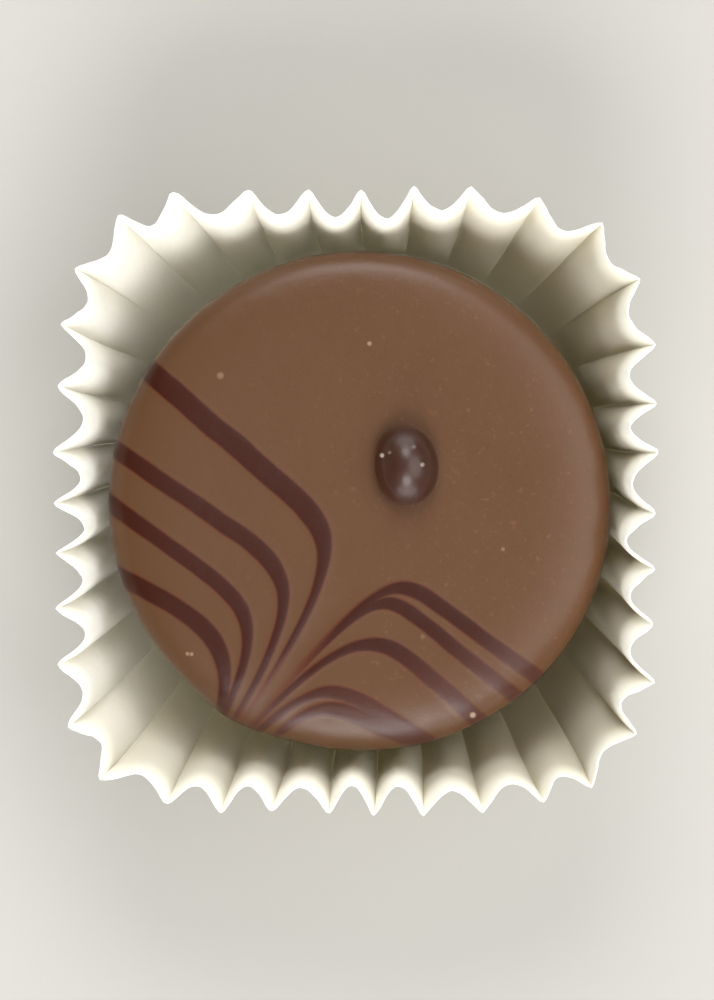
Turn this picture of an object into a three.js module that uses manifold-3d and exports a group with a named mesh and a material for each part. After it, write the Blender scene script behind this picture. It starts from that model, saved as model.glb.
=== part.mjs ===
// A round milk-chocolate truffle, flat on top, feathered with dark lines and topped with one dark pearl.
// It stands in its own fluted paper case. Millimetres, +Z up, origin under the middle of the case's floor.
// From above, +X is right and +Y is up, as one looks down on the sweet.

import * as THREE from "three";
import { mergeVertices } from "three/addons/utils/BufferGeometryUtils.js";
import Module from "manifold-3d";

const wasm = await Module();
wasm.setup();

// ---- Driving dimensions ----

// The paper case: a flat round floor, and a pleated wall squeezed to a rounded square at the rim.
const FLUTES = 37;
const POINTS_PER_FLUTE = 8;
const FLOOR_RADIUS = 14.5;
const RIM_HALF_WIDTH = 17.35; // over the tips of the flutes, along X
const RIM_HALF_DEPTH = 18.05; // over the tips of the flutes, along Y
const RIM_SQUARENESS = 4.8; // exponent of the rim's rounded square
const WALL_SLANT = 17.0; // from the floor's edge up to the rim, the same all round
const FLUTE_DEPTH = 1.55; // at the rim, from tip to valley
const FLUTE_GROWTH = 0.8; // how early the flutes open on their way up the wall
const FLUTE_START = 0.18; // where the first flute's tip lies past the middle of the +X side, in flutes
const FLUTE_DRIFT = 0.34; // how far the flutes bunch together on the far side of the rim, in flutes
const CORNERS = 4;
const CORNER_WIDENING = 0.16; // how far the flutes spread at the rim's corners, in flutes
const SIDE_HOLLOW = 0.2; // how far the wall curves in on its way up the straight sides
const CORNER_BULGE = 0.2; // and out at the corners
const SIDE_FLARE = 3.5; // the wall leans out this far along the straight sides
const CORNER_FLARE = 7.0; // and at the corners
const PAPER_THICKNESS = 0.25;
const WALL_STEPS = [0, 0.06, 0.3, 0.65, 1]; // heights of the rings of points, as shares of the wall

// The truffle: a disc with a flat top, a soft shoulder, a side that leans in downwards and a slight foot.
const DISC_RADIUS = 14.5;
const DISC_HEIGHT = 15.0;
const DISC_CENTRE_X = 0.2;
const DISC_CENTRE_Y = -0.07;
const FLAT_TOP_RADIUS = 10.0;
const SHOULDER_DEPTH = 2.0; // from the flat top down to where the side begins
const SHOULDER_FULLNESS_IN = 0.2; // how near the shoulder's curve keeps to the corner, inwards
const SHOULDER_FULLNESS_DOWN = 0.4; // and downwards
const SLUMP = 0.15; // how far the shoulder sags on the -Y side, SLUMP_REACH past the radius where it starts
const SLUMP_START = 9.0;
const SLUMP_REACH = 4.0;
const FOOT_HEIGHT = 1.6;
const FOOT_INSET = 0.55; // the foot lies this far inside the disc's radius
const WAIST_INSET = 0.7; // the waist above it
const BASE_INSET = 1.2; // and the edge of the base
const DISC_SEGMENTS = 72;
const OUTLINE_STEPS = 6; // points on each curve of the disc's outline
const DISC_UNEVENNESS = 0.1;
const BROAD_UNEVENNESS = { waves: 2, share: 0.6, turn: 0.8 };
const FINE_UNEVENNESS = { waves: 3, share: 0.4, turn: 2.1 };

// The lip, where the dragged chocolate ran over the shoulder.
const LIP_ANGLE = THREE.MathUtils.degToRad(240);
const LIP_HALF_ANGLE = THREE.MathUtils.degToRad(9);
const LIP_SWELL = 0.3;
const LIP_HEIGHT = 2.4; // below the top
const LIP_SPREAD = 1.6;

// The feathering: dark lines piped across, then dragged once towards the lip.
const PIPING_ANGLE = THREE.MathUtils.degToRad(-38);
const DRAG_LENGTH = 14.0;
const LINE_HEIGHT = 0.15;
const LINE_RUN_DOWN = 7.0; // how far the lines reach down the side, from the top
const TAIL_GAP = 0.35; // where a dragged line ends beside the spine of the drag
const TAIL_WIDTH = 0.4;
const TAIL_REACH = 12.4; // how far from the disc's centre the tails fade out, just short of the lip
const TAIL_BEND = 1.6; // a line counts as a tail this close to the spine
const PAST_THE_SIDE = DISC_RADIUS + 2;
const LINE_STEPS = 24;
const LINE_CROWDING = 2.5; // how much closer the points of a line lie near the spine

// Each line: the side of the drag it lies on, its distance down the drag, its tilt, the place of the spine
// that it bends to, how far from the spine the bend begins, and its width.
const LINES = [
  { side: -1, offset: 2.23, tilt: -0.041, spine: 2.72, spread: 1.11, width: 1.25 },
  { side: -1, offset: 5.21, tilt: 0.07, spine: 2.61, spread: 1.26, width: 0.96 },
  { side: -1, offset: 8.29, tilt: 0.048, spine: 2.41, spread: 1.3, width: 0.9 },
  { side: -1, offset: 9.65, tilt: 0.2, spine: 3.05, spread: 1.74, width: 1.02 },
  { side: 1, offset: 1.98, tilt: -0.026, spine: 2.72, spread: 0.67, width: 0.8 },
  { side: 1, offset: 3.1, tilt: 0.02, spine: 2.78, spread: 0.61, width: 0.76 },
  { side: 1, offset: 4.83, tilt: 0.085, spine: 2.57, spread: 1.12, width: 0.88 },
  { side: 1, offset: 9.35, tilt: -0.09, spine: 2.6, spread: 0.9, width: 0.8 },
  { side: 1, offset: 10.85, tilt: -0.26, spine: 3.6, spread: 0.61, width: 0.9 },
];

// The pearl: an oval bead that sits on the flat top, its underside flattened where it sank in.
const PEARL_WIDTH = 3.7;
const PEARL_LENGTH = 4.55;
const PEARL_HEIGHT = 4.0;
const PEARL_SUNK = 1.4;
const PEARL_X = 2.73; // from the disc's centre
const PEARL_Y = 2.11;
const PEARL_TURN = THREE.MathUtils.degToRad(6); // its long axis leans this far towards -X
const PEARL_SEGMENTS = 28;
const PEARL_STEPS = 9;

// ---- Solids ----

function mergedGeometry(geometry) {
  const bare = geometry.clone();
  bare.deleteAttribute("normal");
  bare.deleteAttribute("uv");
  return mergeVertices(bare, 1e-4);
}

function solidFrom(geometry) {
  const merged = mergedGeometry(geometry);
  const vertProperties = new Float32Array(merged.attributes.position.array);
  const triVerts = new Uint32Array(merged.index.array);
  return new wasm.Manifold(new wasm.Mesh({ numProp: 3, vertProperties, triVerts }));
}

function geometryFrom(solid) {
  const mesh = solid.getMesh();
  const geometry = new THREE.BufferGeometry();
  geometry.setAttribute("position", new THREE.BufferAttribute(mesh.vertProperties, 3));
  geometry.setIndex(new THREE.BufferAttribute(mesh.triVerts, 1));
  geometry.computeVertexNormals();
  return geometry;
}

// A body turned round the Z axis. Its outline of (radius, height) points starts and ends on the axis.
function turned(outline, segments) {
  const geometry = new THREE.LatheGeometry(outline, segments);
  geometry.rotateX(Math.PI / 2);
  return geometry;
}

// Moves each vertex of a geometry to where the given function puts it.
function reshape(geometry, move) {
  const position = geometry.getAttribute("position");
  const point = new THREE.Vector3();
  for (let i = 0; i < position.count; i += 1) {
    point.fromBufferAttribute(position, i);
    move(point, i);
    position.setXYZ(i, point.x, point.y, point.z);
  }
  return geometry;
}

// ---- Paper case ----

// The rim's rounded square as a closed curve, sampled so that equal shares are equal lengths.
function rimCurve() {
  const corners = [];
  const samples = 360;
  for (let i = 0; i < samples; i += 1) {
    const angle = (i / samples) * 2 * Math.PI;
    const across = Math.abs(Math.cos(angle) / RIM_HALF_WIDTH) ** RIM_SQUARENESS;
    const along = Math.abs(Math.sin(angle) / RIM_HALF_DEPTH) ** RIM_SQUARENESS;
    const reach = (across + along) ** (-1 / RIM_SQUARENESS);
    corners.push(new THREE.Vector3(reach * Math.cos(angle), reach * Math.sin(angle), 0));
  }
  const curve = new THREE.CatmullRomCurve3(corners, true);
  curve.arcLengthDivisions = 2 * samples;
  return curve;
}

// Where on the rim the wall ends that starts at a share of the way round the floor, also as a share.
function rimShare(turn) {
  const drifted = turn - (FLUTE_DRIFT / FLUTES) * Math.cos(2 * Math.PI * turn);
  return drifted - (CORNER_WIDENING / FLUTES) * Math.sin(CORNERS * 2 * Math.PI * drifted);
}

// One ring of the wall's outer face, at a share of its height.
function wallRing(rim, share) {
  const columns = FLUTES * POINTS_PER_FLUTE;
  const ring = [];
  for (let i = 0; i < columns; i += 1) {
    const turn = i / columns + FLUTE_START / FLUTES;
    const bunched = (rimShare(turn) + 1) % 1;
    const tip = rim.getPointAt(bunched);
    const inward = rim.getTangentAt(bunched);
    inward.set(-inward.y, inward.x, 0);
    const foot = new THREE.Vector3(Math.cos(2 * Math.PI * turn), Math.sin(2 * Math.PI * turn), 0);
    foot.multiplyScalar(FLOOR_RADIUS);
    const flare = tip.distanceTo(foot);
    const valley = Math.abs(Math.sin((Math.PI * i) / POINTS_PER_FLUTE));
    const corner = THREE.MathUtils.clamp((flare - SIDE_FLARE) / (CORNER_FLARE - SIDE_FLARE), 0, 1);
    const bulge = CORNER_BULGE * corner - SIDE_HOLLOW * (1 - corner);
    const point = foot.clone().lerp(tip, share + bulge * (share - share ** 3));
    point.addScaledVector(inward, FLUTE_DEPTH * valley * share ** FLUTE_GROWTH);
    point.z = share * Math.sqrt(WALL_SLANT ** 2 - flare ** 2);
    ring.push(point);
  }
  return ring;
}

// The same ring set in by the paper's thickness, and kept off the underside of the floor.
function innerRing(ring) {
  return ring.map((point, i) => {
    const before = ring[(i + ring.length - 1) % ring.length];
    const after = ring[(i + 1) % ring.length];
    const along = after.clone().sub(before).setZ(0).normalize();
    const inward = new THREE.Vector3(-along.y, along.x, 0);
    const inner = point.clone().addScaledVector(inward, PAPER_THICKNESS);
    inner.z = Math.max(point.z, PAPER_THICKNESS);
    return inner;
  });
}

function paperCase() {
  const rim = rimCurve();
  const outer = WALL_STEPS.map((share) => wallRing(rim, share));
  const inner = outer.map(innerRing).reverse();
  const rings = [...outer, ...inner];
  // The turned blank has one outline point for each ring, and one on the axis at either end.
  const onRings = rings.map((_, k) => new THREE.Vector2(1, k));
  const blank = [new THREE.Vector2(0, 0), ...onRings, new THREE.Vector2(0, 1)];
  const columns = FLUTES * POINTS_PER_FLUTE;
  return reshape(turned(blank, columns), (point, i) => {
    const row = i % blank.length;
    const column = Math.floor(i / blank.length) % columns;
    if (row === 0) point.set(0, 0, 0);
    else if (row === blank.length - 1) point.set(0, 0, PAPER_THICKNESS);
    else point.copy(rings[row - 1][column]);
  });
}

// ---- Truffle ----

const DISC_BASE = PAPER_THICKNESS;
const DISC_TOP = DISC_BASE + DISC_HEIGHT;

// The disc's outline, grown outwards by a lift, from the middle of the base to the middle of the top.
function discOutline(lift) {
  const radius = DISC_RADIUS + lift;
  const top = DISC_TOP + lift;
  const outline = new THREE.Path();
  const footMiddle = DISC_BASE + 0.5 * FOOT_HEIGHT;
  const footTop = DISC_BASE + FOOT_HEIGHT;
  const waistTop = DISC_BASE + 2 * FOOT_HEIGHT;
  const sideMiddle = 0.5 * DISC_TOP;
  outline.moveTo(DISC_RADIUS - BASE_INSET, DISC_BASE);
  outline.quadraticCurveTo(radius - FOOT_INSET, DISC_BASE, radius - FOOT_INSET, footMiddle);
  outline.quadraticCurveTo(radius - WAIST_INSET, footTop, radius - FOOT_INSET, waistTop);
  outline.quadraticCurveTo(radius, sideMiddle, radius, DISC_TOP - SHOULDER_DEPTH);
  const cornerDown = top - SHOULDER_FULLNESS_DOWN;
  const cornerIn = radius - SHOULDER_FULLNESS_IN;
  outline.bezierCurveTo(radius, cornerDown, cornerIn, top, FLAT_TOP_RADIUS, top);
  const axisBelow = new THREE.Vector2(0, DISC_BASE);
  const axisAbove = new THREE.Vector2(0, top);
  return [axisBelow, ...outline.getPoints(OUTLINE_STEPS), axisAbove];
}

function wave(angle, { waves, share, turn }) {
  return share * Math.cos(waves * angle + turn);
}

// Makes the turned disc a little uneven, swells the lip and lets the shoulder sag. The middle stays flat.
function poured(point) {
  const angle = Math.atan2(point.y, point.x);
  const radius = Math.hypot(point.x, point.y);
  const nearSide = (radius / DISC_RADIUS) ** 4;
  const uneven = DISC_UNEVENNESS * (wave(angle, BROAD_UNEVENNESS) + wave(angle, FINE_UNEVENNESS));
  const turnFromLip = Math.atan2(Math.sin(angle - LIP_ANGLE), Math.cos(angle - LIP_ANGLE));
  const heightFromLip = point.z - (DISC_TOP - LIP_HEIGHT);
  const besideLip = (turnFromLip / LIP_HALF_ANGLE) ** 2 + (heightFromLip / LIP_SPREAD) ** 2;
  const outwards = nearSide * (uneven + LIP_SWELL * Math.exp(-besideLip));
  const scale = 1 + outwards / Math.max(radius, 1);
  const sagging = (Math.max(radius - SLUMP_START, 0) / SLUMP_REACH) ** 3 * 0.5 * (1 - Math.sin(angle));
  const onShoulder = THREE.MathUtils.smoothstep(point.z, DISC_TOP - 2 * SHOULDER_DEPTH, DISC_TOP);
  point.z -= SLUMP * sagging * onShoulder;
  point.x *= scale;
  point.y *= scale;
}

function disc(lift) {
  return solidFrom(reshape(turned(discOutline(lift), DISC_SEGMENTS), poured));
}

// The outline of one feathered line from above: it comes in straight, bends, and runs off along the drag.
function lineShape(line) {
  const across = new THREE.Vector2(Math.cos(PIPING_ANGLE), Math.sin(PIPING_ANGLE));
  const drag = new THREE.Vector2(across.y, -across.x);
  const near = [];
  for (let k = 0; k <= LINE_STEPS; k += 1) {
    const away = TAIL_GAP + (2 * DISC_RADIUS - TAIL_GAP) * (k / LINE_STEPS) ** LINE_CROWDING;
    const dragged = line.offset + line.tilt * away + DRAG_LENGTH * Math.exp(-away / line.spread);
    const place = across.clone().multiplyScalar(line.spine + line.side * away);
    place.addScaledVector(drag, dragged);
    const reach = away < TAIL_BEND ? TAIL_REACH : PAST_THE_SIDE;
    if (place.length() < reach) near.push(place);
  }
  const left = [];
  const right = [];
  near.forEach((point, k) => {
    const before = near[Math.max(k - 1, 0)];
    const after = near[Math.min(k + 1, near.length - 1)];
    const along = after.clone().sub(before).normalize();
    const sideways = new THREE.Vector2(-along.y, along.x);
    const stretch = Math.abs(along.dot(across));
    const halfWidth = 0.5 * Math.hypot(line.width * stretch, TAIL_WIDTH);
    left.push(point.clone().addScaledVector(sideways, halfWidth));
    right.unshift(point.clone().addScaledVector(sideways, -halfWidth));
  });
  return new THREE.Shape([...left, ...right]);
}

// The raised lines: the parts of a slightly larger disc that lie under the lines' outlines.
function featheredLines() {
  const depth = LINE_RUN_DOWN + 1;
  const skin = disc(LINE_HEIGHT);
  const cutters = LINES.map((line) => {
    const prism = new THREE.ExtrudeGeometry(lineShape(line), { depth, bevelEnabled: false });
    prism.translate(0, 0, DISC_TOP - LINE_RUN_DOWN);
    return solidFrom(prism);
  });
  const together = cutters.reduce((sum, cutter) => sum.add(cutter));
  return skin.intersect(together);
}

function truffle() {
  return geometryFrom(disc(0).add(featheredLines()));
}

// ---- Pearl ----

function pearl() {
  const halfHeight = PEARL_HEIGHT / 2;
  const start = Math.asin(PEARL_SUNK / halfHeight - 1);
  const side = new THREE.EllipseCurve(0, halfHeight - PEARL_SUNK, 1, halfHeight, start, Math.PI / 2);
  const axisBelow = new THREE.Vector2(0, 0);
  const axisAbove = new THREE.Vector2(0, PEARL_HEIGHT - PEARL_SUNK);
  const outline = [axisBelow, ...side.getPoints(PEARL_STEPS).slice(0, -1), axisAbove];
  const geometry = turned(outline, PEARL_SEGMENTS);
  geometry.scale(PEARL_WIDTH / 2, PEARL_LENGTH / 2, 1);
  geometry.rotateZ(PEARL_TURN);
  return geometry;
}

// ---- The sweet, put together ----

function named(name, geometry, color, roughness) {
  const material = new THREE.MeshStandardMaterial({ color, roughness, metalness: 0 });
  const mesh = new THREE.Mesh(geometry, material);
  mesh.name = name;
  return mesh;
}

const sweet = new THREE.Group();

const paperMesh = named("paper_case", paperCase(), 0xf4f0e4, 0.9);
sweet.add(paperMesh);

const filled = new THREE.Group();
filled.position.set(DISC_CENTRE_X, DISC_CENTRE_Y, 0);
const truffleMesh = named("truffle", truffle(), 0x7a5640, 0.45);
const pearlMesh = named("pearl", pearl(), 0x3c2320, 0.35);
pearlMesh.position.set(PEARL_X, PEARL_Y, DISC_TOP);
filled.add(truffleMesh, pearlMesh);
sweet.add(filled);

export default sweet;
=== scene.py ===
"""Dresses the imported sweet: a feathered milk-chocolate truffle with a dark pearl, in its fluted paper case.

Lengths are in millimetres, and MM turns them into Blender's metres. Only the lamps are placed in metres.
From above, +X is right and +Y is up, as one looks down on the sweet. +Z is up out of the case.
"""

import math

import bmesh
import bpy
import numpy as np
from mathutils import Matrix, Vector


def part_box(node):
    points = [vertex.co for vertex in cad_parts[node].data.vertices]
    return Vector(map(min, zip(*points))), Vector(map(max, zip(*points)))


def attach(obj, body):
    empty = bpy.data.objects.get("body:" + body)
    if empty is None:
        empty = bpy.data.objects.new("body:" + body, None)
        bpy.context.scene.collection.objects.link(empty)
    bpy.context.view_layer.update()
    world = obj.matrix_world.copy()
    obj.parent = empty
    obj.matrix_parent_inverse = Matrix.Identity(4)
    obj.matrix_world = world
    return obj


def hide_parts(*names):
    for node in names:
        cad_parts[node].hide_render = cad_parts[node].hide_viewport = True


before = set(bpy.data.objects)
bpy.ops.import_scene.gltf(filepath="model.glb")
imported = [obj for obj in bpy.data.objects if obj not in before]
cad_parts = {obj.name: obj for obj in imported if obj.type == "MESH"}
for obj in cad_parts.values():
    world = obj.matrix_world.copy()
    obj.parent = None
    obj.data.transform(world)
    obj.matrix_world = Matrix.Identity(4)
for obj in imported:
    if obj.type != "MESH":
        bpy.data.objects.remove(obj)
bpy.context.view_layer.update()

MM = 0.001
NEARLY = 0.001  # a point this close to an edge or a height, in millimetres, counts as on it

# ---- Sizes, as in the part's source ----

FLUTES = 37
FLOOR_RADIUS = 14.5
RIM_HALF_WIDTH = 17.35
RIM_HALF_DEPTH = 18.05
RIM_SQUARENESS = 4.8
WALL_SLANT = 17.0
FLUTE_DEPTH = 1.55
FLUTE_GROWTH = 0.8
FLUTE_START = 0.18
FLUTE_DRIFT = 0.34
CORNERS = 4
CORNER_WIDENING = 0.16
SIDE_HOLLOW = 0.2  # how far the wall curves in on its way up the straight sides
CORNER_BULGE = 0.2  # and out at the corners
SIDE_FLARE = 3.5  # the wall leans out this far along the straight sides
CORNER_FLARE = 7.0  # and at the corners

DISC_RADIUS = 14.5
DISC_CENTRE = (0.2, -0.07)
FLAT_TOP_RADIUS = 10.0
SHOULDER_DEPTH = 2.0
SHOULDER_FULLNESS_IN = 0.2
SHOULDER_FULLNESS_DOWN = 0.4
SLUMP = 0.15
SLUMP_START = 9.0
SLUMP_REACH = 4.0
FOOT_HEIGHT = 1.6
FOOT_INSET = 0.55
WAIST_INSET = 0.7
BASE_INSET = 1.2
DISC_UNEVENNESS = 0.1
BROAD_UNEVENNESS = {"waves": 2, "share": 0.6, "turn": 0.8}
FINE_UNEVENNESS = {"waves": 3, "share": 0.4, "turn": 2.1}

LIP_ANGLE = math.radians(240)
LIP_HALF_ANGLE = math.radians(9)
LIP_SWELL = 0.3
LIP_HEIGHT = 2.4
LIP_SPREAD = 1.6

PIPING_ANGLE = math.radians(-38)
DRAG_LENGTH = 14.0
TAIL_WIDTH = 0.4

PEARL_WIDTH = 3.7
PEARL_LENGTH = 4.55
PEARL_HEIGHT = 4.0
PEARL_SUNK = 1.4
PEARL_TURN = math.radians(6)  # its long axis leans this far towards -X
PEARL_PLACE = (2.73, 2.11)  # from the disc's centre
PEARL_CENTRE = (DISC_CENTRE[0] + PEARL_PLACE[0], DISC_CENTRE[1] + PEARL_PLACE[1])

# Each piped line: the side of the drag it lies on, its distance down the drag, its tilt, the place of the
# spine that it bends to, how far from the spine the bend begins, and its width.
LINES = [
    {"side": -1, "offset": 2.23, "tilt": -0.041, "spine": 2.72, "spread": 1.11, "width": 1.25},
    {"side": -1, "offset": 5.21, "tilt": 0.07, "spine": 2.61, "spread": 1.26, "width": 0.96},
    {"side": -1, "offset": 8.29, "tilt": 0.048, "spine": 2.41, "spread": 1.3, "width": 0.9},
    {"side": -1, "offset": 9.65, "tilt": 0.2, "spine": 3.05, "spread": 1.74, "width": 1.02},
    {"side": 1, "offset": 1.98, "tilt": -0.026, "spine": 2.72, "spread": 0.67, "width": 0.8},
    {"side": 1, "offset": 3.1, "tilt": 0.02, "spine": 2.78, "spread": 0.61, "width": 0.76},
    {"side": 1, "offset": 4.83, "tilt": 0.085, "spine": 2.57, "spread": 1.12, "width": 0.88},
    {"side": 1, "offset": 9.35, "tilt": -0.09, "spine": 2.6, "spread": 0.9, "width": 0.8},
    {"side": 1, "offset": 10.85, "tilt": -0.26, "spine": 3.6, "spread": 0.61, "width": 0.9},
]

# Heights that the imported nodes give.
DISC_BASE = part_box("truffle")[0].z / MM
DISC_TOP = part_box("pearl")[0].z / MM


# ---- Handling meshes ----

def clear_selection():
    if bpy.context.object is not None and bpy.context.object.mode != "OBJECT":
        bpy.ops.object.mode_set(mode="OBJECT")
    bpy.ops.object.select_all(action="DESELECT")


def name_piece(name):
    piece = bpy.context.object
    piece.name = name
    piece.data.name = name
    return piece


def select_points(piece, wanted):
    """Selects the points that the test wants, of the piece being edited, and what lies between them."""
    mesh = bmesh.from_edit_mesh(piece.data)
    bpy.ops.mesh.select_all(action="DESELECT")
    for vert in mesh.verts:
        vert.select = wanted(vert.co / MM)
    mesh.select_flush(True)
    bmesh.update_edit_mesh(piece.data)


def points_of(piece):
    flat = np.empty(len(piece.data.vertices) * 3)
    piece.data.vertices.foreach_get("co", flat)
    return flat.reshape(-1, 3) / MM


def normals_of(piece):
    flat = np.empty(len(piece.data.vertices) * 3)
    piece.data.vertices.foreach_get("normal", flat)
    return flat.reshape(-1, 3)


def put_points(piece, points):
    piece.data.vertices.foreach_set("co", (points * MM).ravel())
    piece.data.update()


def apply_modifier(piece, kind, **settings):
    modifier = piece.modifiers.new(kind.title(), kind)
    for key, value in settings.items():
        setattr(modifier, key, value)
    bpy.ops.object.modifier_apply(modifier=modifier.name)


def settle(piece, smooth_angle):
    """Puts the piece's place into its mesh, and smooths its shading up to an angle."""
    clear_selection()
    piece.select_set(True)
    bpy.context.view_layer.objects.active = piece
    bpy.ops.object.transform_apply(location=True, rotation=True, scale=True)
    bpy.ops.object.shade_smooth_by_angle(angle=math.radians(smooth_angle))


# ---- The feathering, as a formula ----

TAIL_FADE = (-0.1, 1.0)  # a dragged tail thins out to nothing between these distances from the spine


def drag_places(x, y):
    """How far each point lies across the drag and along it, from the disc's centre."""
    dx = x - DISC_CENTRE[0]
    dy = y - DISC_CENTRE[1]
    across = dx * math.cos(PIPING_ANGLE) + dy * math.sin(PIPING_ANGLE)
    along = dx * math.sin(PIPING_ANGLE) - dy * math.cos(PIPING_ANGLE)
    return across, along


def smooth_step(low, high, value):
    share = np.clip((value - low) / (high - low), 0, 1)
    return share * share * (3 - 2 * share)


def line_cover(x, y, edge):
    """How much dark chocolate covers each point, from 0 to 1."""
    across, along = drag_places(x, y)
    cover = np.zeros_like(x)
    for line in LINES:
        away = (across - line["spine"]) * line["side"]
        pull = DRAG_LENGTH * np.exp(-np.clip(away, 0, None) / line["spread"])
        middle = line["offset"] + line["tilt"] * away + pull
        lean = np.hypot(1, line["tilt"] - pull / line["spread"])
        half = 0.5 * np.hypot(line["width"] / lean, TAIL_WIDTH)
        beside = np.abs(along - middle) / lean
        fade = smooth_step(*TAIL_FADE, away)
        cover = np.maximum(cover, fade * (1 - smooth_step(half - edge, half + edge, beside)))
    return cover


# ---- Truffle ----

TRUFFLE_COLUMNS = 96
LINE_RELIEF = 0.03
LINE_RELIEF_EDGE = 0.2
LINE_FADE = (8.0, 3.0)  # how far below the top the relief has gone, and where it begins to go
SPINE_PLACE = 2.65  # where the drag ran, across the drag
SPINE_HALF_WIDTH = 0.9
SPINE_DEPTH = 0.06
SPINE_START = 1.5
SPINE_RUN_IN = 5.0  # how far along the drag the trough takes to reach its depth


def bezier(*controls, steps):
    """Points along a quadratic or cubic curve, without its first."""
    share = np.linspace(0, 1, steps + 1)[1:, None]
    rows = [np.array(control, float)[None, :] for control in controls]
    while len(rows) > 1:
        rows = [(1 - share) * a + share * b for a, b in zip(rows, rows[1:])]
    return [tuple(point) for point in rows[0]]


def disc_outline():
    """Points (radius, height) from the edge of the flat top down to the edge of the flat base."""
    top_in = (FLAT_TOP_RADIUS, DISC_TOP)
    corner_in = (DISC_RADIUS - SHOULDER_FULLNESS_IN, DISC_TOP)
    corner_down = (DISC_RADIUS, DISC_TOP - SHOULDER_FULLNESS_DOWN)
    side_top = (DISC_RADIUS, DISC_TOP - SHOULDER_DEPTH)
    side_middle = (DISC_RADIUS, 0.5 * DISC_TOP)
    waist_top = (DISC_RADIUS - FOOT_INSET, DISC_BASE + 2 * FOOT_HEIGHT)
    waist = (DISC_RADIUS - WAIST_INSET, DISC_BASE + FOOT_HEIGHT)
    foot = (DISC_RADIUS - FOOT_INSET, DISC_BASE + 0.5 * FOOT_HEIGHT)
    foot_under = (DISC_RADIUS - FOOT_INSET, DISC_BASE)
    base_edge = (DISC_RADIUS - BASE_INSET, DISC_BASE)
    return [
        top_in,
        *bezier(top_in, corner_in, corner_down, side_top, steps=20),
        *bezier(side_top, side_middle, waist_top, steps=12),
        *bezier(waist_top, waist, foot, steps=5),
        *bezier(foot, foot_under, base_edge, steps=4),
    ]


def extrude_rings(outline):
    """Extrudes the selected ring of edges along an outline of (radius, height)."""
    centre = (DISC_CENTRE[0] * MM, DISC_CENTRE[1] * MM)
    for (radius, height), (next_radius, next_height) in zip(outline, outline[1:]):
        drop = (0, 0, (next_height - height) * MM)
        bpy.ops.mesh.extrude_region_move(TRANSFORM_OT_translate={"value": drop})
        share = next_radius / radius
        pivot = (*centre, next_height * MM)
        bpy.ops.transform.resize(value=(share, share, 1), center_override=pivot)


def wave(angle, waves, share, turn):
    return share * np.cos(waves * angle + turn)


def pour_uneven(points):
    """Makes the side a little uneven, swells the lip and lets the shoulder sag, most of all in front."""
    dx = points[:, 0] - DISC_CENTRE[0]
    dy = points[:, 1] - DISC_CENTRE[1]
    angle = np.arctan2(dy, dx)
    radius = np.hypot(dx, dy)
    near_side = (radius / DISC_RADIUS) ** 4
    uneven = DISC_UNEVENNESS * (wave(angle, **BROAD_UNEVENNESS) + wave(angle, **FINE_UNEVENNESS))
    from_lip = np.arctan2(np.sin(angle - LIP_ANGLE), np.cos(angle - LIP_ANGLE)) / LIP_HALF_ANGLE
    from_height = (points[:, 2] - (DISC_TOP - LIP_HEIGHT)) / LIP_SPREAD
    lip = LIP_SWELL * np.exp(-(from_lip ** 2) - from_height ** 2)
    scale = 1 + near_side * (uneven + lip) / np.maximum(radius, 1)
    sagging = (np.maximum(radius - SLUMP_START, 0) / SLUMP_REACH) ** 3 * 0.5 * (1 - np.sin(angle))
    on_shoulder = smooth_step(DISC_TOP - 2 * SHOULDER_DEPTH, DISC_TOP, points[:, 2])
    points[:, 2] -= SLUMP * sagging * on_shoulder
    points[:, 0] = DISC_CENTRE[0] + dx * scale
    points[:, 1] = DISC_CENTRE[1] + dy * scale


def truffle_disc():
    clear_selection()
    centre = (DISC_CENTRE[0] * MM, DISC_CENTRE[1] * MM, DISC_TOP * MM)
    radius = FLAT_TOP_RADIUS * MM
    bpy.ops.mesh.primitive_circle_add(vertices=TRUFFLE_COLUMNS, radius=radius, location=centre)
    piece = name_piece("truffle_disc")
    bpy.ops.object.transform_apply(location=True, rotation=False, scale=False)
    bpy.ops.object.mode_set(mode="EDIT")
    bpy.ops.mesh.select_all(action="SELECT")
    extrude_rings(disc_outline())
    bpy.ops.mesh.fill_grid(span=TRUFFLE_COLUMNS // 4)
    select_points(piece, lambda point: point.z > DISC_TOP - NEARLY)
    bpy.ops.mesh.fill_grid(span=TRUFFLE_COLUMNS // 4)
    bpy.ops.mesh.select_all(action="SELECT")
    bpy.ops.mesh.normals_make_consistent(inside=False)
    bpy.ops.object.mode_set(mode="OBJECT")
    apply_modifier(piece, "SUBSURF", levels=2, render_levels=2)
    points = points_of(piece)
    pour_uneven(points)
    put_points(piece, points)

    cover = line_cover(points[:, 0], points[:, 1], LINE_RELIEF_EDGE)
    across, along = drag_places(points[:, 0], points[:, 1])
    beside_spine = np.exp(-(((across - SPINE_PLACE) / SPINE_HALF_WIDTH) ** 2))
    trough = SPINE_DEPTH * beside_spine * smooth_step(SPINE_START, SPINE_START + SPINE_RUN_IN, along)
    upper = smooth_step(DISC_TOP - LINE_FADE[0], DISC_TOP - LINE_FADE[1], points[:, 2])
    points += normals_of(piece) * ((LINE_RELIEF * cover - trough) * upper)[:, None]
    points[:, 2] = np.maximum(points[:, 2], DISC_BASE)
    put_points(piece, points)
    settle(piece, smooth_angle=60)
    return piece


# ---- Pearl ----

PEARL_LUMPS = 0.012
BLISTERS = [(-1.33, 0.77), (-0.87, 0.89), (0.95, 0.0), (0.6, 1.08)]  # tiny bumps, from the pearl's middle
BLISTER_RADIUS = 0.13
BLISTER_HEIGHT = 0.04


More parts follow.
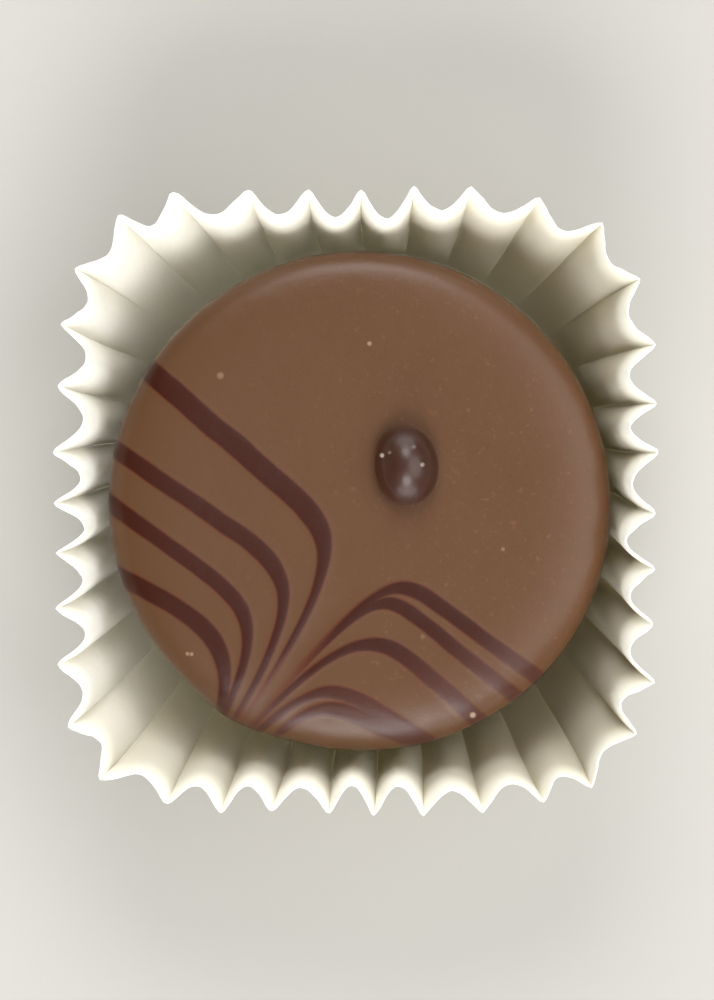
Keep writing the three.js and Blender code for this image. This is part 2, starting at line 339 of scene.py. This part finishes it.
def pearl_bead():
    clear_selection()
    centre_height = DISC_TOP - PEARL_SUNK + 0.5 * PEARL_HEIGHT
    centre = (PEARL_CENTRE[0] * MM, PEARL_CENTRE[1] * MM, centre_height * MM)
    bpy.ops.mesh.primitive_cube_add(size=PEARL_WIDTH * MM, location=centre)
    piece = name_piece("pearl_bead")
    bpy.ops.object.mode_set(mode="EDIT")
    bpy.ops.mesh.select_all(action="SELECT")
    bpy.ops.mesh.subdivide(number_cuts=15)
    bpy.ops.transform.tosphere(value=1.0)
    widen = (1.0, PEARL_LENGTH / PEARL_WIDTH, PEARL_HEIGHT / PEARL_WIDTH)
    bpy.ops.transform.resize(value=widen, center_override=centre)
    bpy.ops.object.mode_set(mode="OBJECT")
    settle(piece, smooth_angle=180)
    apply_modifier(piece, "SUBSURF", levels=2, render_levels=2)

    middle = np.array(centre) / MM
    half_size = 0.5 * np.array([PEARL_WIDTH, PEARL_LENGTH, PEARL_HEIGHT])
    outwards = (points_of(piece) - middle) / half_size
    outwards /= np.linalg.norm(outwards, axis=1)[:, None]
    lumps = np.sin(3.1 * outwards[:, 0] + 1.2) * np.cos(2.7 * outwards[:, 1]) + np.sin(4.3 * outwards[:, 2])
    from_middle = outwards * half_size * (1 + PEARL_LUMPS * lumps)[:, None]
    for place in BLISTERS:
        beside = np.hypot(from_middle[:, 0] - place[0], from_middle[:, 1] - place[1]) / BLISTER_RADIUS
        blister = BLISTER_HEIGHT * np.exp(-(beside ** 2)) * (outwards[:, 2] > 0)
        from_middle += outwards * blister[:, None]
    points = middle + from_middle
    points[:, 2] = np.maximum(points[:, 2], DISC_TOP)
    put_points(piece, points)
    bpy.ops.object.mode_set(mode="EDIT")
    bpy.ops.mesh.select_all(action="SELECT")
    bpy.ops.transform.rotate(value=-PEARL_TURN, orient_axis="Z", center_override=centre)
    bpy.ops.object.mode_set(mode="OBJECT")
    return piece


# ---- Paper case ----

CASE_POINTS_PER_FLUTE = 16
CASE_ROWS = 30
RIM_SAMPLES = 7200
PAPER_THICKNESS = 0.1
CASE_SEED = 11
FLUTE_DEPTH_SPREAD = 0.14
FLUTE_LEAN = 0.1
FLUTE_REACH = 0.18
CORNER_FLATTENING = 0.12
CREASE_ROUNDNESS = 0.05
CREASE_PINCH = 0.5  # how far the creases below the rim are pressed together
RIM_ROUNDNESS = 0.2
RIM_ROUNDNESS_SHARE = 0.04  # of the wall's height, over which the tips open into round ones
RIM_FLARE = 0.03
RIM_RAGGEDNESS = 0.12
RIM_WAVE = 0.12
RIM_SHARPNESS = 60  # how closely the cut's raggedness keeps to the rim
FLARE_SHARPNESS = 20  # and how closely the rim's flare does
PAPER_STEP = 0.02  # share of the wall's height over which the paper's way up is taken
CORNER_CRIMP = 0.5  # how much tighter the tips are creased at the corners
FLOOR_EDGE = 0.4  # width of the ring of faces round the edge of the case's floor
FLOOR_RING = 4.0  # and of the one inside it


def rim_path():
    """The rim's rounded square: samples by their share of the way round, with places and directions."""
    angle = np.linspace(0, 2 * np.pi, RIM_SAMPLES + 1)
    across = np.abs(np.cos(angle) / RIM_HALF_WIDTH) ** RIM_SQUARENESS
    along = np.abs(np.sin(angle) / RIM_HALF_DEPTH) ** RIM_SQUARENESS
    reach = (across + along) ** (-1 / RIM_SQUARENESS)
    places = np.stack([reach * np.cos(angle), reach * np.sin(angle)], axis=1)
    steps = np.linalg.norm(np.diff(places, axis=0), axis=1)
    share = np.concatenate([[0], np.cumsum(steps)]) / steps.sum()
    directions = np.gradient(places, axis=0)
    directions /= np.linalg.norm(directions, axis=1)[:, None]
    return share, places, directions


def between(values, flute, within):
    """A value for each flute's tip, blended along to the next tip."""
    return values[flute] * (1 - within) + values[(flute + 1) % FLUTES] * within


def pleat(turn, height):
    """Places for points of the paper wall, from their shares of the way round and of the way up."""
    draw = np.random.default_rng(CASE_SEED)
    depths = 1 + draw.uniform(-FLUTE_DEPTH_SPREAD, FLUTE_DEPTH_SPREAD, FLUTES)
    leans = draw.uniform(-FLUTE_LEAN, FLUTE_LEAN, FLUTES)
    reaches = draw.uniform(-FLUTE_REACH, FLUTE_REACH, FLUTES)
    share, places, directions = rim_path()

    phase = FLUTES * turn
    flute = np.floor(phase).astype(int) % FLUTES
    within = phase - np.floor(phase)
    foot_turn = turn + FLUTE_START / FLUTES
    leaning = foot_turn + between(leans, flute, within) * height ** 2 / FLUTES
    drifted = leaning - FLUTE_DRIFT / FLUTES * np.cos(2 * np.pi * leaning)
    rim_share = (drifted - CORNER_WIDENING / FLUTES * np.sin(CORNERS * 2 * np.pi * drifted)) % 1.0

    tip = np.stack([np.interp(rim_share, share, places[:, k]) for k in (0, 1)], axis=1)
    direction = np.stack([np.interp(rim_share, share, directions[:, k]) for k in (0, 1)], axis=1)
    inward = np.stack([-direction[:, 1], direction[:, 0]], axis=1)
    foot = FLOOR_RADIUS * np.stack([np.cos(2 * np.pi * foot_turn), np.sin(2 * np.pi * foot_turn)], axis=1)
    flare = np.linalg.norm(tip - foot, axis=1)

    corner = np.clip((flare - SIDE_FLARE) / (CORNER_FLARE - SIDE_FLARE), 0, 1)
    opening = np.exp((height - 1) / RIM_ROUNDNESS_SHARE)
    roundness = CREASE_ROUNDNESS + RIM_ROUNDNESS * opening * (1 - CORNER_CRIMP * corner)
    valley = np.hypot(np.sin(np.pi * within), roundness) - roundness
    valley /= np.hypot(1, roundness) - roundness
    pinched = np.sqrt(1 - (2 * within - 1) ** 2)
    valley += (pinched - valley) * CREASE_PINCH * (1 - opening)
    depth = FLUTE_DEPTH * depths[flute] * (1 - CORNER_FLATTENING * corner) * height ** FLUTE_GROWTH
    bulge = CORNER_BULGE * corner - SIDE_HOLLOW * (1 - corner)
    climb = height + bulge * (height - height ** 3) - RIM_FLARE * (height - height ** FLARE_SHARPNESS)
    set_in = depth * valley - between(reaches, flute, within) * height ** 2
    plan = foot + (tip - foot) * climb[:, None] + inward * set_in[:, None]
    rise = height * np.sqrt(WALL_SLANT ** 2 - flare ** 2)
    return np.column_stack([plan, rise])


def ragged_rim(turn, columns):
    """How far the cut rim stands past its line at each point, along the paper."""
    draw = np.random.default_rng(CASE_SEED + 1)
    fibres = draw.uniform(-1, 1, columns)
    fibres = RIM_RAGGEDNESS * (fibres + np.roll(fibres, 1)) / 2
    slow = np.sin(2 * np.pi * (3 * turn + 0.3))
    quick = 0.5 * np.sin(2 * np.pi * 7 * turn)
    return fibres[np.round(turn * columns).astype(int) % columns] + RIM_WAVE * (slow + quick)


def paper_case():
    clear_selection()
    columns = FLUTES * CASE_POINTS_PER_FLUTE
    bpy.ops.mesh.primitive_circle_add(vertices=columns, radius=FLOOR_RADIUS * MM)
    piece = name_piece("fluted_case")
    bpy.ops.object.mode_set(mode="EDIT")
    bpy.ops.mesh.select_all(action="SELECT")
    step = WALL_SLANT / CASE_ROWS
    for _ in range(CASE_ROWS):
        bpy.ops.mesh.extrude_region_move(TRANSFORM_OT_translate={"value": (0, 0, step * MM)})
    select_points(piece, lambda point: point.z < NEARLY)
    bpy.ops.mesh.edge_face_add()
    bpy.ops.mesh.inset(thickness=FLOOR_EDGE * MM)
    bpy.ops.mesh.inset(thickness=FLOOR_RING * MM)
    bpy.ops.mesh.select_all(action="SELECT")
    bpy.ops.mesh.normals_make_consistent(inside=False)
    bpy.ops.object.mode_set(mode="OBJECT")

    points = points_of(piece)
    wall = np.hypot(points[:, 0], points[:, 1]) > FLOOR_RADIUS - NEARLY
    turn = (np.arctan2(points[wall, 1], points[wall, 0]) / (2 * np.pi)) % 1.0
    turn = np.round(turn * columns) % columns / columns
    height = points[wall, 2] / WALL_SLANT
    places = pleat(turn, height)
    up_paper = places - pleat(turn, np.maximum(height - PAPER_STEP, 0))
    up_paper /= np.maximum(np.linalg.norm(up_paper, axis=1), 1e-6)[:, None]
    cut_past = ragged_rim(turn, columns) * height ** RIM_SHARPNESS
    points[wall] = places + up_paper * cut_past[:, None]
    put_points(piece, points)
    apply_modifier(piece, "SOLIDIFY", thickness=PAPER_THICKNESS * MM, offset=-1.0)
    settle(piece, smooth_angle=50)
    return piece


# ---- Materials ----

FRONT_TURN = math.radians(-75)  # from +X to the front, towards which the lines turn paler and the paper carries painted shade
PAINTED_SHADE_LEFT = (-14.0, 8.0)  # from X to X, over which the milk chocolate's painted shade on the left fades out and it turns a shade lighter
LINE_EDGE = 0.14  # how far a line's colour runs out to either side of its edge
LINE_WOBBLE = 0.12  # how far the lines stray along the drag
LINE_PALING = (8.0, 12.5)  # the lines grow paler between these distances towards the front
TAIL_TINT = (0.0, 0.5)  # the cover over which the milk chocolate takes on a tail's tint
LINE_TINT = (0.35, 1.0)  # and the cover over which the tail's tint takes on the line's
PEARL_SHADOW = 0.2  # how dark the painted shadow on the milk chocolate is right beside the pearl
PEARL_SHADOW_REACH = (-0.2, 0.55)  # from the pearl's outline
SEEN_FROM_ABOVE = 1e6  # a scale along Z so large that heights don't count
DRAGGED_HALF_WIDTH = (0.8, 2.2)  # the drag left the chocolate duller this far beside its spine
DRAGGED_START = (9.0, 11.0)  # and from here on along it
SPECKS_ABOVE = 12.0  # the height above which the chocolate is specked
SPECK_FADE = 0.1  # how far below that height the last of the specks ends
SHADED_FRONT = (4.0, 13.0)  # the paper is shaded between these distances towards the front
SHADED_RIGHT = (-16.0, 16.0)  # and from X to X
UP_THE_WALL = (13.0, 16.5)  # the shade ends between these heights
FRONT_SHADE = 0.6  # how strongly the front is shaded
FIBRE_SHADE = 0.12  # and how strongly the paper's fibres show

# Pale specks and painted glints on the chocolate, and painted glints on the pearl from its middle: x, y,
# radius and strength.
SPECKS_AND_GLINTS = [
    (0.78, 9.1, 0.17, 0.6),
    (-7.84, 7.25, 0.26, 0.3),
    (8.5, -2.78, 0.16, 0.3),
    (-9.76, -8.85, 0.15, 0.5),
    (-9.52, -8.87, 0.15, 0.5),
    # The next two mark small bubbles with painted glints.
    (6.75, -12.4, 0.22, 0.9),
    (3.86, -7.84, 0.2, 0.15),
]
PEARL_PAINTED_GLINTS = [
    (-1.33, 0.77, 0.17, 0.8),
    (-0.87, 0.89, 0.13, 0.2),
    (0.95, 0.0, 0.17, 0.4),
    (0.6, 1.08, 0.14, 0.15),
]


def new_material(name):
    material = bpy.data.materials.new(name)
    material.use_nodes = True
    tree = material.node_tree
    return material, tree, tree.nodes["Principled BSDF"]


def join(tree, value, socket):
    if isinstance(value, bpy.types.NodeSocket):
        tree.links.new(value, socket)
    else:
        socket.default_value = value


def math_node(tree, operation, *values):
    node = tree.nodes.new("ShaderNodeMath")
    node.operation = operation
    for value, socket in zip(values, node.inputs):
        join(tree, value, socket)
    return node.outputs[0]


def range_node(tree, value, low, high, to_low=0.0, to_high=1.0, smooth=True):
    node = tree.nodes.new("ShaderNodeMapRange")
    node.interpolation_type = "SMOOTHSTEP" if smooth else "LINEAR"
    join(tree, value, node.inputs["Value"])
    join(tree, low, node.inputs["From Min"])
    join(tree, high, node.inputs["From Max"])
    join(tree, to_low, node.inputs["To Min"])
    join(tree, to_high, node.inputs["To Max"])
    return node.outputs["Result"]


def noise_node(tree, place, scale, detail=2.0, roughness=0.5):
    node = tree.nodes.new("ShaderNodeTexNoise")
    tree.links.new(place, node.inputs["Vector"])
    node.inputs["Scale"].default_value = scale
    node.inputs["Detail"].default_value = detail
    node.inputs["Roughness"].default_value = roughness
    return node.outputs["Fac"]


def blend_node(tree, share, first, second):
    node = tree.nodes.new("ShaderNodeMix")
    node.data_type = "RGBA"
    join(tree, share, node.inputs["Factor"])
    join(tree, first, node.inputs["A"])
    join(tree, second, node.inputs["B"])
    return node.outputs["Result"]


def bump_node(tree, height, distance, strength=1.0, under=None):
    node = tree.nodes.new("ShaderNodeBump")
    node.inputs["Strength"].default_value = strength
    node.inputs["Distance"].default_value = distance * MM
    tree.links.new(height, node.inputs["Height"])
    if under is not None:
        tree.links.new(under, node.inputs["Normal"])
    return node.outputs["Normal"]


def axes_of(tree, place):
    """The X, Y and Z of a place."""
    node = tree.nodes.new("ShaderNodeSeparateXYZ")
    tree.links.new(place, node.inputs[0])
    return node.outputs


def colour(red, green, blue):
    """A linear colour from everyday screen values of 0 to 255."""
    def linear(value):
        value /= 255
        return value / 12.92 if value <= 0.04045 else ((value + 0.055) / 1.055) ** 2.4
    return (linear(red), linear(green), linear(blue), 1.0)


def place_in_mm(tree, centre=(0.0, 0.0, 0.0), turn=0.0):
    """The object's own coordinates in millimetres, about a centre and turned about +Z."""
    where = tree.nodes.new("ShaderNodeTexCoord")
    shift = tree.nodes.new("ShaderNodeMapping")
    shift.vector_type = "TEXTURE"
    shift.inputs["Location"].default_value = [value * MM for value in centre]
    shift.inputs["Rotation"].default_value = (0, 0, turn)
    shift.inputs["Scale"].default_value = (MM, MM, MM)
    tree.links.new(where.outputs["Object"], shift.inputs["Vector"])
    return shift.outputs["Vector"]


def feathered_line_group():
    """A node group that gives the cover of one feathered line, in the way that line_cover does."""
    tree = bpy.data.node_groups.new("feathered_line", "ShaderNodeTree")
    for name in ("Across", "Along", "Side", "Offset", "Tilt", "Spine", "Spread", "Width", "Edge"):
        tree.interface.new_socket(name, in_out="INPUT", socket_type="NodeSocketFloat")
    tree.interface.new_socket("Cover", in_out="OUTPUT", socket_type="NodeSocketFloat")
    given = tree.nodes.new("NodeGroupInput").outputs
    result = tree.nodes.new("NodeGroupOutput")

    from_spine = math_node(tree, "SUBTRACT", given["Across"], given["Spine"])
    away = math_node(tree, "MULTIPLY", from_spine, given["Side"])
    near = math_node(tree, "DIVIDE", math_node(tree, "MAXIMUM", away, 0.0), given["Spread"])
    drawn = math_node(tree, "EXPONENT", math_node(tree, "MULTIPLY", near, -1.0))
    pull = math_node(tree, "MULTIPLY", drawn, DRAG_LENGTH)
    tilted = math_node(tree, "MULTIPLY_ADD", given["Tilt"], away, given["Offset"])
    middle = math_node(tree, "ADD", tilted, pull)
    slope = math_node(tree, "SUBTRACT", given["Tilt"], math_node(tree, "DIVIDE", pull, given["Spread"]))
    lean = math_node(tree, "SQRT", math_node(tree, "MULTIPLY_ADD", slope, slope, 1.0))
    thin = math_node(tree, "DIVIDE", given["Width"], lean)
    wide = math_node(tree, "SQRT", math_node(tree, "MULTIPLY_ADD", thin, thin, TAIL_WIDTH ** 2))
    half = math_node(tree, "MULTIPLY", wide, 0.5)
    off_middle = math_node(tree, "ABSOLUTE", math_node(tree, "SUBTRACT", given["Along"], middle))
    beside = math_node(tree, "DIVIDE", off_middle, lean)
    inner = math_node(tree, "SUBTRACT", half, given["Edge"])
    outer = math_node(tree, "ADD", half, given["Edge"])
    cover = range_node(tree, beside, inner, outer, 1.0, 0.0)
    fade = range_node(tree, away, *TAIL_FADE)
    join(tree, math_node(tree, "MULTIPLY", cover, fade), result.inputs["Cover"])
    return tree


def pearl_distance(tree, place):
    """Distance in millimetres from the pearl's outline, seen from above, as nodes."""
    shift = tree.nodes.new("ShaderNodeMapping")
    shift.vector_type = "TEXTURE"
    shift.inputs["Location"].default_value = (*PEARL_CENTRE, DISC_TOP)
    shift.inputs["Rotation"].default_value = (0, 0, PEARL_TURN)
    shift.inputs["Scale"].default_value = (0.5 * PEARL_WIDTH, 0.5 * PEARL_LENGTH, SEEN_FROM_ABOVE)
    tree.links.new(place, shift.inputs["Vector"])
    reach = tree.nodes.new("ShaderNodeVectorMath")
    reach.operation = "LENGTH"
    tree.links.new(shift.outputs["Vector"], reach.inputs[0])
    past_edge = math_node(tree, "SUBTRACT", reach.outputs["Value"], 1.0)
    return math_node(tree, "MULTIPLY", past_edge, 0.5 * PEARL_WIDTH)


def pale_specks_and_glints(tree, place, specks_and_glints, height):
    """How strongly pale specks and painted glints, given as (x, y, radius, strength), show at each place
    above a height.
    """
    at = axes_of(tree, place)
    specked = range_node(tree, at["Z"], height - SPECK_FADE, height)
    strongest = 0.0
    for x, y, radius, strength in specks_and_glints:
        dx = math_node(tree, "SUBTRACT", at["X"], x)
        dy = math_node(tree, "SUBTRACT", at["Y"], y)
        squared = math_node(tree, "MULTIPLY_ADD", dx, dx, math_node(tree, "MULTIPLY", dy, dy))
        spot = range_node(tree, squared, 0.0, radius ** 2, strength, 0.0)
        strongest = math_node(tree, "MAXIMUM", strongest, spot)
    return math_node(tree, "MULTIPLY", strongest, specked)


def milk_chocolate():
    material, tree, shader = new_material("feathered_milk_chocolate")
    turned = place_in_mm(tree, (*DISC_CENTRE, 0.0), PIPING_ANGLE)
    plain = place_in_mm(tree)
    strays = noise_node(tree, plain, 0.35, 2.0)
    wobble = range_node(tree, strays, 0, 1, -LINE_WOBBLE, LINE_WOBBLE, smooth=False)
    on_disc = axes_of(tree, turned)
    across = on_disc["X"]
    along = math_node(tree, "SUBTRACT", wobble, on_disc["Y"])

    group = feathered_line_group()
    covers = []
    for line in LINES:
        node = tree.nodes.new("ShaderNodeGroup")
        node.node_tree = group
        join(tree, across, node.inputs["Across"])
        join(tree, along, node.inputs["Along"])
        for key, value in line.items():
            node.inputs[key.title()].default_value = value
        node.inputs["Edge"].default_value = LINE_EDGE
        covers.append(node.outputs["Cover"])
    cover = covers[0]
    for other in covers[1:]:
        cover = math_node(tree, "MAXIMUM", cover, other)

    mottle = noise_node(tree, plain, 0.22, 4.0, 0.6)
    smooth_milk = blend_node(tree, mottle, colour(81, 52, 31), colour(88, 59, 37))
    grains = range_node(tree, noise_node(tree, plain, 2.6, 2.0, 0.7), 0.6, 0.78, 0.0, 0.5)
    grained_milk = blend_node(tree, grains, smooth_milk, colour(112, 78, 52))
    # Painted shade: the milk chocolate is darker towards the left.
    shade_to_left = range_node(tree, axes_of(tree, plain)["X"], *PAINTED_SHADE_LEFT, 1.0, 0.0)
    milk = blend_node(tree, shade_to_left, grained_milk, colour(81, 54, 33))
    tails = blend_node(tree, range_node(tree, cover, *TAIL_TINT), milk, colour(80, 42, 25))
    to_front = axes_of(tree, place_in_mm(tree, (*DISC_CENTRE, 0.0), FRONT_TURN))["X"]
    thin = range_node(tree, to_front, *LINE_PALING)
    line = blend_node(tree, thin, colour(50, 16, 4), colour(67, 35, 25))
    lined = blend_node(tree, range_node(tree, cover, *LINE_TINT), tails, line)
    # Painted shadow of the pearl on the milk chocolate around it.
    from_pearl = pearl_distance(tree, plain)
    pearl_shadow_share = range_node(tree, from_pearl, *PEARL_SHADOW_REACH, PEARL_SHADOW, 0.0)
    pearl_shadowed = blend_node(tree, pearl_shadow_share, lined, colour(46, 24, 17))
    # Pale specks, with painted glints of bubbles among them.
    specks_and_glints = pale_specks_and_glints(tree, plain, SPECKS_AND_GLINTS, SPECKS_ABOVE)
    join(tree, blend_node(tree, specks_and_glints, pearl_shadowed, colour(158, 132, 112)), shader.inputs["Base Color"])

    off_spine = math_node(tree, "ABSOLUTE", math_node(tree, "SUBTRACT", across, SPINE_PLACE))
    on_spine = range_node(tree, off_spine, *DRAGGED_HALF_WIDTH, 1.0, 0.0)
    dragged = math_node(tree, "MULTIPLY", on_spine, range_node(tree, along, *DRAGGED_START))
    join(tree, range_node(tree, dragged, 0, 1, 0.35, 0.5), shader.inputs["Roughness"])
    shader.inputs["Specular IOR Level"].default_value = 0.3

    broad = bump_node(tree, noise_node(tree, plain, 0.5, 3.0), 0.06, 0.6)
    fine = bump_node(tree, noise_node(tree, plain, 9.0, 3.0), 0.012, 0.5, under=broad)
    join(tree, fine, shader.inputs["Normal"])
    return material


def dark_chocolate():
    material, tree, shader = new_material("dark_chocolate")
    plain = place_in_mm(tree)
    mottle = noise_node(tree, plain, 1.1, 3.0)
    dark = blend_node(tree, mottle, colour(49, 25, 16), colour(61, 34, 23))
    about_pearl = place_in_mm(tree, (*PEARL_CENTRE, 0.0), PEARL_TURN)
    # Painted glints on the pearl's tiny blisters.
    painted_glints = pale_specks_and_glints(tree, about_pearl, PEARL_PAINTED_GLINTS, DISC_TOP)
    join(tree, blend_node(tree, painted_glints, dark, colour(178, 164, 148)), shader.inputs["Base Color"])
    shader.inputs["Roughness"].default_value = 0.45
    shader.inputs["Specular IOR Level"].default_value = 0.2
    shader.inputs["Coat Weight"].default_value = 0.45
    shader.inputs["Coat Roughness"].default_value = 0.28
    join(tree, bump_node(tree, noise_node(tree, plain, 2.2, 3.0), 0.05, 0.5), shader.inputs["Normal"])
    return material


def case_paper():
    material, tree, shader = new_material("case_paper")
    plain = place_in_mm(tree)
    at = axes_of(tree, plain)
    # The lower wall carries painted shade: darker to the right and towards the front, up to where the white
    # rim begins.
    to_right = range_node(tree, at["X"], *SHADED_RIGHT)
    lower_wall = blend_node(tree, to_right, colour(244, 240, 226), colour(215, 209, 190))
    to_front = axes_of(tree, place_in_mm(tree, turn=FRONT_TURN))["X"]
    in_shade = range_node(tree, to_front, *SHADED_FRONT, 0.0, FRONT_SHADE)
    shaded_wall = blend_node(tree, in_shade, lower_wall, colour(190, 184, 166))
    up_wall = range_node(tree, at["Z"], *UP_THE_WALL)
    white = blend_node(tree, up_wall, shaded_wall, colour(246, 243, 229))
    fibres = noise_node(tree, plain, 3.0, 4.0, 0.65)
    shade = range_node(tree, fibres, 0.3, 0.7, 0.0, FIBRE_SHADE, smooth=False)
    join(tree, blend_node(tree, shade, white, colour(206, 200, 182)), shader.inputs["Base Color"])
    shader.inputs["Roughness"].default_value = 0.85
    shader.inputs["Specular IOR Level"].default_value = 0.25
    shader.inputs["Subsurface Weight"].default_value = 1.0
    shader.inputs["Subsurface Radius"].default_value = (1.0, 0.99, 0.95)
    shader.inputs["Subsurface Scale"].default_value = 0.2 * MM
    wrinkles = bump_node(tree, noise_node(tree, plain, 0.7, 2.0), 0.15, 0.4)
    join(tree, bump_node(tree, fibres, 0.03, 0.5, under=wrinkles), shader.inputs["Normal"])
    return material


def pale_table():
    material, tree, shader = new_material("pale_table")
    shader.inputs["Base Color"].default_value = colour(172, 170, 165)
    shader.inputs["Roughness"].default_value = 0.8
    return material


# ---- Stage, light and camera ----

TABLE_WIDTH = 3000.0
SWEET_MIDDLE = Vector((0, 0, 12.0)) * MM
CAMERA_OFFSET = Vector((17.5, 18.0, 1000.0)) * MM  # from the sweet, as the photograph's camera stood
FRAME_HEIGHT = 58.0  # what the picture's height takes in, level with the sweet's middle
CAMERA_RANGE = (10.0, 10000.0)  # the nearest and farthest that it sees
SENSOR = 36.0


def table():
    clear_selection()
    bpy.ops.mesh.primitive_plane_add(size=TABLE_WIDTH * MM)
    plane = name_piece("table")
    plane.data.materials.append(pale_table())


def soft_light(name, place, size, power, shines=True):
    """A lamp that faces the sweet, placed and sized in metres. One that doesn't shine isn't reflected."""
    data = bpy.data.lights.new(name, "AREA")
    data.shape = "ELLIPSE"
    data.size, data.size_y = size
    data.energy = power
    lamp = bpy.data.objects.new(name, data)
    bpy.context.scene.collection.objects.link(lamp)
    lamp.location = place
    lamp.visible_glossy = shines
    lamp.rotation_euler = (Vector(place) * -1).to_track_quat("-Z", "Y").to_euler()


def studio():
    soft_light("light_above", (0.0, 0.38, 0.48), (0.32, 0.28), 1.9)
    soft_light("light_below", (0.0, -0.38, 0.48), (0.34, 0.3), 2.5)
    soft_light("far_light_above", (0.0, 0.78, 0.27), (1.0, 0.5), 3.2)
    soft_light("far_light_below", (0.0, -0.78, 0.27), (1.0, 0.5), 4.4)
    soft_light("light_right", (0.62, 0.0, 0.88), (1.1, 1.1), 9.0)
    soft_light("low_light_left", (-0.8, 0.0, 0.16), (0.6, 0.3), 2.2, shines=False)
    world = bpy.data.worlds.new("studio")
    bpy.context.scene.world = world
    world.use_nodes = True
    world.node_tree.nodes["Background"].inputs["Color"].default_value = (1.0, 0.985, 0.96, 1.0)
    world.node_tree.nodes["Background"].inputs["Strength"].default_value = 0.14


def camera():
    data = bpy.data.cameras.new("camera")
    eye = bpy.data.objects.new("camera", data)
    bpy.context.scene.collection.objects.link(eye)
    back = CAMERA_OFFSET.normalized()
    right = Vector((0, 1, 0)).cross(back).normalized()
    up = back.cross(right)
    eye.location = SWEET_MIDDLE + CAMERA_OFFSET
    eye.rotation_euler = Matrix((right, up, back)).transposed().to_euler()
    data.sensor_width = SENSOR
    data.lens = SENSOR * CAMERA_OFFSET.length / (FRAME_HEIGHT * MM)
    data.clip_start, data.clip_end = (reach * MM for reach in CAMERA_RANGE)
    bpy.context.scene.camera = eye


def dress(piece, node, material):
    """Gives a finished piece its material and body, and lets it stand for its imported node."""
    piece.data.materials.clear()
    piece.data.materials.append(material)
    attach(piece, "root")
    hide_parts(node)


dress(truffle_disc(), "truffle", milk_chocolate())
dress(pearl_bead(), "pearl", dark_chocolate())
dress(paper_case(), "paper_case", case_paper())
table()
studio()
camera()
bpy.context.scene.view_settings.view_transform = "Standard"
